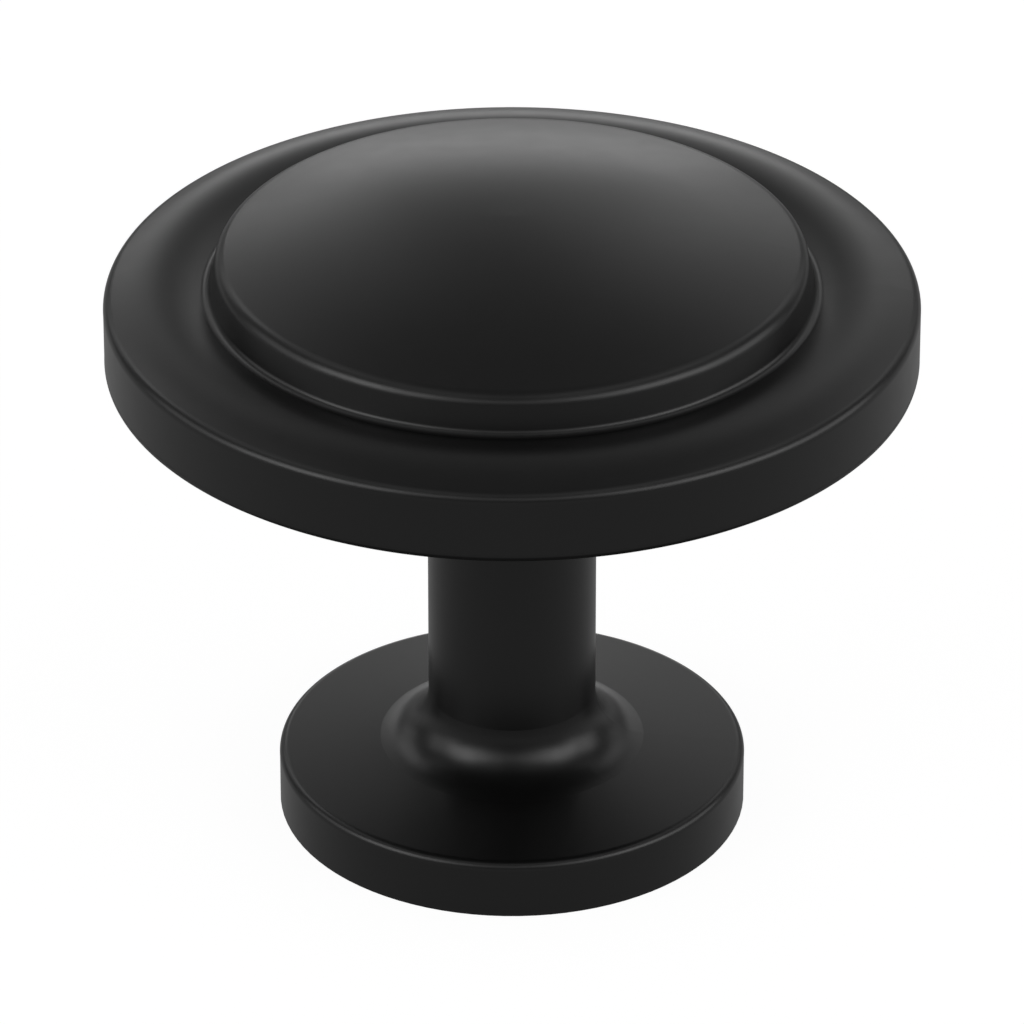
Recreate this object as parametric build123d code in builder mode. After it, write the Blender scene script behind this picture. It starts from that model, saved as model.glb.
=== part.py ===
from build123d import *
import os
from math import radians, tan

# A round cabinet knob, die-cast in zinc as one piece: a flanged base, a slim stem and a stepped, domed head.
# The origin is the centre of the face that sits on the drawer front, and +Z runs up the stem to the head.
# All lengths are in millimetres.

# Flanged base: its thickness is that of the edge, and its top rises as a shallow cone to the stem
base_diameter = 18.7
base_thickness = 2.4
base_top_rise = 0.56
base_edge_radius = 0.35

# Stem, with the casting fillets at its two ends
stem_diameter = 6.7
stem_foot_radius = 2.15
stem_top_radius = 0.5

# Head: a disc with a plain rim, its underside given from the drawer front
head_diameter = 32.0
underside_height = 20.0
rim_height = 2.85
rim_edge_radius = 0.46
rim_lower_edge_radius = 0.3

# Ring between the rim and the step: it rises inwards and is gently crowned
ring_rise = 0.3
ring_bulge = 0.38

# Step and dome in the middle of the head
dome_diameter = 23.8
step_height = 1.56
step_draft_angle = 13.0
step_foot_radius = 0.18
shoulder_radius = 0.65
dome_rise = 1.65

# Hole for the mounting screw, M4: its wall is at the thread's major diameter
screw_diameter = 4.0
hole_depth = 12.0
drill_point_angle = 118.0
mouth_chamfer = 0.4

base_radius = base_diameter / 2
stem_radius = stem_diameter / 2
head_radius = head_diameter / 2
step_foot_rim = dome_diameter / 2
hole_radius = screw_diameter / 2

rim_top = underside_height + rim_height
step_foot_height = rim_top + ring_rise
shoulder_height = step_foot_height + step_height
shoulder_rim = step_foot_rim - step_height * tan(radians(step_draft_angle))
dome_top = shoulder_height + dome_rise
drill_tip = hole_depth + hole_radius / tan(radians(drill_point_angle / 2))

# Corners of the half section, each with the radius that rounds it
base_corner = (base_radius, base_thickness)
stem_foot_corner = (stem_radius, base_thickness + base_top_rise)
stem_top_corner = (stem_radius, underside_height)
rim_lower_corner = (head_radius, underside_height)
rim_corner = (head_radius, rim_top)
step_foot_corner = (step_foot_rim, step_foot_height)
shoulder_corner = (shoulder_rim, shoulder_height)
rounded_corners = (
    (base_corner, base_edge_radius),
    (stem_foot_corner, stem_foot_radius),
    (stem_top_corner, stem_top_radius),
    (rim_lower_corner, rim_lower_edge_radius),
    (rim_corner, rim_edge_radius),
    (step_foot_corner, step_foot_radius),
    (shoulder_corner, shoulder_radius),
)

with BuildPart() as knob:
    # The half section of the casting, turned about the stem's axis
    with BuildSketch(Plane.XZ) as half_section:
        with BuildLine():
            Polyline(
                (0, dome_top),
                (0, 0),
                (base_radius, 0),
                base_corner,
                stem_foot_corner,
                stem_top_corner,
                rim_lower_corner,
                rim_corner,
            )
            SagittaArc(rim_corner, step_foot_corner, -ring_bulge)
            Line(step_foot_corner, shoulder_corner)
            TangentArc((0, dome_top), shoulder_corner, tangent=(1, 0))
        make_face()
        for corner, radius in rounded_corners:
            fillet(half_section.vertices().sort_by_distance(corner)[0], radius)
    revolve(axis=Axis.Z)

    # The screw hole: a chamfered mouth, the threaded length and the drill's point
    with BuildSketch(Plane.XZ):
        with BuildLine():
            Polyline(
                (0, 0),
                (hole_radius + mouth_chamfer, 0),
                (hole_radius, mouth_chamfer),
                (hole_radius, hole_depth),
                (0, drill_tip),
                close=True,
            )
        make_face()
    revolve(axis=Axis.Z, mode=Mode.SUBTRACT)

knob.part.label = "knob"

os.makedirs("parts", exist_ok=True)
export_step(knob.part, "parts/knob.step")
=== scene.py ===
from math import cos, pi, radians, sin, tan

import bmesh
import bpy
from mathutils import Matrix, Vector


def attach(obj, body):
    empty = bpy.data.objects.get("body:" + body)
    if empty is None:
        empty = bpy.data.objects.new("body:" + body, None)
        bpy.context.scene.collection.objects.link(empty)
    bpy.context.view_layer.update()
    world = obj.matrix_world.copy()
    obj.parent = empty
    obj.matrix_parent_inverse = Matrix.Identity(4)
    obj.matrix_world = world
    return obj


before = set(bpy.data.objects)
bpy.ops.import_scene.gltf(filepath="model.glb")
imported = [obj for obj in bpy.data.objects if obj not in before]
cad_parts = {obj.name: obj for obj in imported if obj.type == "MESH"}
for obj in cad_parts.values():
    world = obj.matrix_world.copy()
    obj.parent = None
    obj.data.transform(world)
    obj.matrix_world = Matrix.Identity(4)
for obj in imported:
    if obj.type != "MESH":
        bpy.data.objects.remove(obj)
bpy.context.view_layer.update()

# The knob is one zinc die-casting: a flanged base, a slim stem and a stepped, domed head.
# It is fettled, sprayed with a matte black epoxy-polyester powder and stoved, so the coat has flowed
# round every edge and lies with a very slight orange peel. The casting's own mesh carries the finish.
MM = 0.001
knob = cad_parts["knob"]


def linear(hex_colour):
    """sRGB hex, such as "#141414", as a linear RGBA colour."""
    channels = [int(hex_colour[i:i + 2], 16) / 255 for i in (1, 3, 5)]
    return [c / 12.92 if c <= 0.04045 else ((c + 0.055) / 1.055) ** 2.4 for c in channels] + [1.0]


def add_node(tree, kind, settings=(), **links):
    """One node with its settings. A link names an input, with _ for a space, and the socket for it."""
    node = tree.nodes.new(kind)
    for name, value in dict(settings).items():
        if name in node.inputs:
            node.inputs[name].default_value = value
        else:
            setattr(node, name, value)
    for name, socket in links.items():
        tree.links.new(socket, node.inputs[name.replace("_", " ")])
    return node


def new_material(name):
    """A material with no nodes yet, and its node tree."""
    material = bpy.data.materials.new(name)
    material.use_nodes = True
    material.node_tree.nodes.clear()
    return material, material.node_tree


# Stoved powder coat: it gives the eye a near black that is never quite flat, a broad soft sheen that
# brightens towards grazing angles, and a slight waviness in that sheen where the powder melted and flowed.
COAT_DARK = "#090909"
COAT_LIGHT = "#0c0c0c"
COAT_IOR = 1.5
SMOOTHEST = 0.307
ROUGHEST = 0.323
DRIFT_SPACING = 12 * MM
PEEL_SPACING = 0.9 * MM
PEEL_HEIGHT = 0.0003 * MM
PEEL_HOLLOW = 0.3
PEEL_CREST = 0.7
coat, coat_tree = new_material("matte black powder coat")
place = add_node(coat_tree, "ShaderNodeTexCoord").outputs["Object"]
drift = add_node(coat_tree, "ShaderNodeTexNoise", {"Scale": 1 / DRIFT_SPACING, "Detail": 2.0}, Vector=place)
peel = add_node(coat_tree, "ShaderNodeTexNoise", {"Scale": 1 / PEEL_SPACING, "Detail": 1.0}, Vector=place)
tone = add_node(coat_tree, "ShaderNodeMix", {"data_type": "RGBA"}, Factor=drift.outputs["Fac"])
# Of the sockets that share a name, 6 and 7 take the mix node's two colours, and output 2 gives its colour
tone.inputs[6].default_value = linear(COAT_DARK)
tone.inputs[7].default_value = linear(COAT_LIGHT)
sheen = add_node(
    coat_tree,
    "ShaderNodeMapRange",
    {"From Min": PEEL_HOLLOW, "From Max": PEEL_CREST, "To Min": SMOOTHEST, "To Max": ROUGHEST},
    Value=peel.outputs["Fac"],
)
waves = add_node(
    coat_tree,
    "ShaderNodeBump",
    {"Strength": 1.0, "Distance": PEEL_HEIGHT},
    Height=peel.outputs["Fac"],
)
skin = add_node(
    coat_tree,
    "ShaderNodeBsdfPrincipled",
    {"IOR": COAT_IOR, "Metallic": 0.0},
    Base_Color=tone.outputs[2],
    Roughness=sheen.outputs["Result"],
    Normal=waves.outputs["Normal"],
)
add_node(coat_tree, "ShaderNodeOutputMaterial", Surface=skin.outputs["BSDF"])
for material_slot in knob.material_slots:
    material_slot.material = coat

# In the corner at the step's foot the powder melted together into a fine bead, a fillet in the coat that
# runs right round the dome. Its two edges blend into the coat of the step and of the ring.
STEP_FOOT_RADIUS = 11.9 * MM
STEP_FOOT_HEIGHT = 23.15 * MM
STEP_DRAFT = radians(13.0)
RING_SLOPE = radians(15.5)
BEAD_RADIUS = 0.3 * MM
COAT_ARC_STEPS = 14
COAT_TURN_STEPS = 480
# A face belongs to the arc when its distance from the arc is less than this share of the radius
ON_ARC = 0.1


def in_section(angle):
    """A direction in the knob's half section: angle 0 points out from the stem, and a quarter turn up."""
    return Vector((cos(angle), 0, sin(angle)))


def coat_ring(name, centre, radius, start, end, closing):
    """A ring of coat: an arc and the points that close its section, turned about the stem's axis."""
    shape = bmesh.new()
    first = shape.verts.new(centre + radius * in_section(start))
    arc = bmesh.ops.spin(
        shape,
        geom=[first],
        cent=centre,
        axis=(0, -1, 0),
        angle=end - start,
        steps=COAT_ARC_STEPS,
    )
    outline = arc["geom_last"] + [shape.verts.new(point) for point in closing] + [first]
    for near, far in zip(outline, outline[1:]):
        shape.edges.new((near, far))
    bmesh.ops.spin(
        shape,
        geom=shape.verts[:] + shape.edges[:],
        cent=(0, 0, 0),
        axis=(0, 0, 1),
        angle=2 * pi,
        steps=COAT_TURN_STEPS,
        use_merge=True,
    )
    bmesh.ops.recalc_face_normals(shape, faces=shape.faces)
    for face in shape.faces:
        middle = face.calc_center_median()
        from_centre = (Vector((middle.xy.length, 0, middle.z)) - centre).length
        face.smooth = abs(from_centre - radius) < ON_ARC * radius
    for edge in shape.edges:
        edge.smooth = edge.link_faces[0].smooth == edge.link_faces[1].smooth
    mesh = bpy.data.meshes.new(name)
    shape.to_mesh(mesh)
    shape.free()
    mesh.materials.append(coat)
    ring = bpy.data.objects.new(name, mesh)
    bpy.context.scene.collection.objects.link(ring)
    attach(ring, "root")


step_foot = Vector((STEP_FOOT_RADIUS, 0, STEP_FOOT_HEIGHT))
up_step = in_section(pi / 2 + STEP_DRAFT)
out_on_ring = in_section(RING_SLOPE)
into_corner = -(up_step + out_on_ring).normalized()
bead_centre = step_foot - into_corner * BEAD_RADIUS / sin(up_step.angle(out_on_ring) / 2)
behind_corner = step_foot + BEAD_RADIUS * into_corner
coat_ring("coat_bead", bead_centre, BEAD_RADIUS, pi + STEP_DRAFT, 3 * pi / 2 + RING_SLOPE, [behind_corner])

# On the outer edges, the dome's shoulder, the rim's two edges and the base's upper one, the melted coat
# drew smooth and even all round. Each is a thin ring of coat on the casting's rounded edge, with the edge's
# own radius, and it feathers out along the faces on both sides.
COAT_PROUD = 0.0005 * MM
FEATHER = 0.04 * MM
# Arc's centre, out from the axis and up, and its radius in mm, then the angles where it starts and ends
COAT_EDGES = {
    "coat_shoulder": (10.9926, 24.1908, 0.65, 13, 74.3),
    "coat_rim_upper_edge": (15.54, 22.549, 0.46, 0, 68),
    "coat_rim_lower_edge": (15.7, 20.3, 0.3, -90, 0),
    "coat_base_edge": (9.0, 2.081, 0.35, 0, 84.7),
}
for edge_name, (out, up, edge_radius, first_angle, last_angle) in COAT_EDGES.items():
    edge_centre = Vector((out * MM, 0, up * MM))
    coat_radius = edge_radius * MM + COAT_PROUD
    start = radians(first_angle)
    end = radians(last_angle)
    after = edge_centre + coat_radius * in_section(end) + FEATHER * in_section(end + pi / 2)
    before = edge_centre + coat_radius * in_section(start) + FEATHER * in_section(start - pi / 2)
    coat_ring(edge_name, edge_centre, coat_radius, start, end, [after, edge_centre, before])

# The screw hole in the base is tapped M4 for the mounting screw. The tap cuts this ridge, one right-handed
# V that winds up the hole's wall, before the knob is coated, so the thread has the same black skin.
THREAD_PITCH = 0.7 * MM
THREAD_WALL_RADIUS = 2.0 * MM
THREAD_CREST_RADIUS = 1.62 * MM
THREAD_START = 0.75 * MM
THREAD_TURNS = 15.5
STEPS_PER_TURN = 48
SUNK_IN_WALL = 0.03 * MM
ROOT_HALF_WIDTH = THREAD_PITCH * 7 / 16
CREST_HALF_WIDTH = THREAD_PITCH / 8
thread_root = THREAD_WALL_RADIUS + SUNK_IN_WALL
thread_shape = bmesh.new()
thread_outline = [
    thread_shape.verts.new((thread_root, 0, THREAD_START - ROOT_HALF_WIDTH)),
    thread_shape.verts.new((THREAD_CREST_RADIUS, 0, THREAD_START - CREST_HALF_WIDTH)),
    thread_shape.verts.new((THREAD_CREST_RADIUS, 0, THREAD_START + CREST_HALF_WIDTH)),
    thread_shape.verts.new((thread_root, 0, THREAD_START + ROOT_HALF_WIDTH)),
]
first_face = thread_shape.faces.new(thread_outline)
bmesh.ops.spin(
    thread_shape,
    geom=thread_outline + list(first_face.edges) + [first_face],
    cent=(0, 0, 0),
    axis=(0, 0, 1),
    dvec=(0, 0, THREAD_PITCH / STEPS_PER_TURN),
    angle=2 * pi * THREAD_TURNS,
    steps=round(THREAD_TURNS * STEPS_PER_TURN),
)
bmesh.ops.recalc_face_normals(thread_shape, faces=thread_shape.faces)
thread_mesh = bpy.data.meshes.new("screw_thread")
thread_shape.to_mesh(thread_mesh)
thread_shape.free()
thread_mesh.materials.append(coat)
thread = bpy.data.objects.new("screw_thread", thread_mesh)
bpy.context.scene.collection.objects.link(thread)
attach(thread, "root")

# The floor is a plain pale sheet under the knob, with the knob's soft shadow on it. The camera sees it
# white, and the coat shows it as dimly as in the photograph. It is a studio surface, not part of the
# object, and is clear from below, so that the knob's mounting face shows there.
FLOOR_SIZE = 3.0
FLOOR_CLEARANCE = 0.01 * MM
FLOOR_COLOUR = "#606060"
WHITE_TO_CAMERA = 0.94
# Painted reflection: the floor glows to the coat's reflections though it is no lamp, and the glow fades to
# nothing
GLOW_IN_REFLECTIONS = 0.285
# where the coat looks steeply down at the floor, which paints the shade under the head's rim
GLOW_STARTS = 0.15
GLOW_IS_FULL = 0.45
floor_shape = bmesh.new()
bmesh.ops.create_grid(floor_shape, x_segments=1, y_segments=1, size=FLOOR_SIZE / 2)
bmesh.ops.translate(floor_shape, verts=floor_shape.verts, vec=(0, 0, -FLOOR_CLEARANCE))
floor_mesh = bpy.data.meshes.new("floor")
floor_shape.to_mesh(floor_mesh)
floor_shape.free()
floor = bpy.data.objects.new("floor", floor_mesh)
bpy.context.scene.collection.objects.link(floor)
paper, paper_tree = new_material("matt white backdrop paper")
rays = add_node(paper_tree, "ShaderNodeLightPath")
mirrored = add_node(paper_tree, "ShaderNodeMath", {"operation": "MAXIMUM"})
paper_tree.links.new(rays.outputs["Is Glossy Ray"], mirrored.inputs[0])
paper_tree.links.new(rays.outputs["Is Transmission Ray"], mirrored.inputs[1])
# Painted reflection and shade: the glow in reflections is brightest at a slant and gone where rays meet the
# floor steeply
slant = add_node(paper_tree, "ShaderNodeLayerWeight", {"Blend": 0.5})
painted_slant_glow = add_node(
    paper_tree,
    "ShaderNodeMapRange",
    {"From Min": GLOW_STARTS, "From Max": GLOW_IS_FULL, "To Min": 0.0, "To Max": GLOW_IN_REFLECTIONS},
    Value=slant.outputs["Facing"],
)
in_reflections = add_node(paper_tree, "ShaderNodeMath", {"operation": "MULTIPLY"})
paper_tree.links.new(mirrored.outputs["Value"], in_reflections.inputs[0])
paper_tree.links.new(painted_slant_glow.outputs["Result"], in_reflections.inputs[1])
glow_level = add_node(paper_tree, "ShaderNodeMath", {"operation": "MULTIPLY_ADD"})
paper_tree.links.new(rays.outputs["Is Camera Ray"], glow_level.inputs[0])
glow_level.inputs[1].default_value = WHITE_TO_CAMERA
paper_tree.links.new(in_reflections.outputs["Value"], glow_level.inputs[2])
matt = add_node(paper_tree, "ShaderNodeBsdfDiffuse", {"Color": linear(FLOOR_COLOUR)})
glow = add_node(paper_tree, "ShaderNodeEmission", Strength=glow_level.outputs["Value"])
both = add_node(paper_tree, "ShaderNodeAddShader")
paper_tree.links.new(matt.outputs["BSDF"], both.inputs[0])
paper_tree.links.new(glow.outputs["Emission"], both.inputs[1])
face_side = add_node(paper_tree, "ShaderNodeNewGeometry")
clear = add_node(paper_tree, "ShaderNodeBsdfTransparent")
one_sided = add_node(paper_tree, "ShaderNodeMixShader", Fac=face_side.outputs["Backfacing"])
paper_tree.links.new(both.outputs["Shader"], one_sided.inputs[1])
paper_tree.links.new(clear.outputs["BSDF"], one_sided.inputs[2])
add_node(paper_tree, "ShaderNodeOutputMaterial", Surface=one_sided.outputs["Shader"])
floor_mesh.materials.append(paper)

# Soft studio light, in pairs to the left and right of the camera: bright softboxes in front, dimmer panels
# beside, above and behind the knob, and a low bright strip straight behind it. The coat sees a dark room
# around them, and the camera sees the floor's white there.
LAMP_DISTANCE = 0.6
LAMP_TARGET = Vector((0, 0, 20 * MM))
ROOM_LEVEL = 0.155
# Azimuth, elevation, width and height in degrees, then the radiance of the left and of the right lamp
LAMP_PAIRS = {
    "key softbox": (65, 26, 24, 24, 2.23, 1.9),
    "fill softbox": (45, 26, 24, 24, 1.7, 1.55),
    "front reflector": (25, 28, 20, 20, 0.85, 0.95),
    "side panel": (90, 16, 40, 24, 0.84, 1.4),
    "top panel": (60, 64, 50, 20, 0.38, 0.48),
    "rear panel": (140, 34, 18, 18, 1.1, 0.74),
    "high side panel": (120, 52, 30, 22, 0.4, 0.36),
    "low rear panel": (140, 16, 18, 16, 0.55, 0.37),
    "rear strip": (163, 22, 16, 12, 0.62, 0.53),
    "low rear strip": (165, 14, 12, 8, 1.25, 0.8),
    "high rear strip": (163, 36, 16, 14, 0.28, 0.36),
}
# Azimuth, elevation, width and height in degrees, then the radiance
LONE_LAMPS = {
    "front panel": (0, 28, 24, 16, 0.6),
    "back strip": (180, 8, 18, 10, 2.05),
    "back reflector": (172, 27, 12, 8, 0.4),
}


def softbox(name, azimuth, elevation, width, height, radiance):
    """A lamp that faces the knob. Angles are in degrees, azimuth 0 at the camera, positive to the right."""
    lamp = bpy.data.lights.new(name, "AREA")
    lamp.shape = "RECTANGLE"
    lamp.size = 2 * LAMP_DISTANCE * tan(radians(width / 2))
    lamp.size_y = 2 * LAMP_DISTANCE * tan(radians(height / 2))
    lamp.energy = radiance * pi * lamp.size * lamp.size_y
    around = radians(azimuth)
    above = radians(elevation)
    towards = Vector((cos(above) * sin(around), -cos(above) * cos(around), sin(above)))
    holder = bpy.data.objects.new(name, lamp)
    holder.location = LAMP_TARGET + LAMP_DISTANCE * towards
    holder.rotation_euler = towards.to_track_quat("Z", "Y").to_euler()
    bpy.context.scene.collection.objects.link(holder)


for lamp_name, (azimuth, elevation, width, height, left, right) in LAMP_PAIRS.items():
    softbox("left " + lamp_name, -azimuth, elevation, width, height, left)
    softbox("right " + lamp_name, azimuth, elevation, width, height, right)
for lamp_name, lamp_facts in LONE_LAMPS.items():
    softbox(lamp_name, *lamp_facts)

world = bpy.data.worlds.new("dark studio room")
world.use_nodes = True
room_tree = world.node_tree
room_tree.nodes.clear()
room_rays = add_node(room_tree, "ShaderNodeLightPath")
room_level = add_node(
    room_tree,
    "ShaderNodeMapRange",
    {"To Min": ROOM_LEVEL, "To Max": WHITE_TO_CAMERA},
    Value=room_rays.outputs["Is Camera Ray"],
)
room = add_node(
    room_tree,
    "ShaderNodeBackground",
    {"Color": (1, 1, 1, 1)},
    Strength=room_level.outputs["Result"],
)
add_node(room_tree, "ShaderNodeOutputWorld", Surface=room.outputs["Background"])
bpy.context.scene.world = world

# The camera looks down on the knob as the photograph does, through a long lens, with the knob's axis
# upright in the middle of the picture.
CAMERA_ELEVATION = radians(29.98)
CAMERA_DISTANCE = 352.0 * MM
CAMERA_LENS = 311.9
CAMERA_SENSOR = 36
LOOK_HEIGHT = 13.04 * MM
view_down = Vector((0, -cos(CAMERA_ELEVATION), sin(CAMERA_ELEVATION)))
camera = bpy.data.objects.new("camera", bpy.data.cameras.new("camera"))
camera.data.sensor_width = CAMERA_SENSOR
camera.data.lens = CAMERA_LENS
camera.location = Vector((0, 0, LOOK_HEIGHT)) + CAMERA_DISTANCE * view_down
camera.rotation_euler = view_down.to_track_quat("Z", "Y").to_euler()
bpy.context.scene.collection.objects.link(camera)
bpy.context.scene.camera = camera
bpy.context.scene.view_settings.view_transform = "Standard"
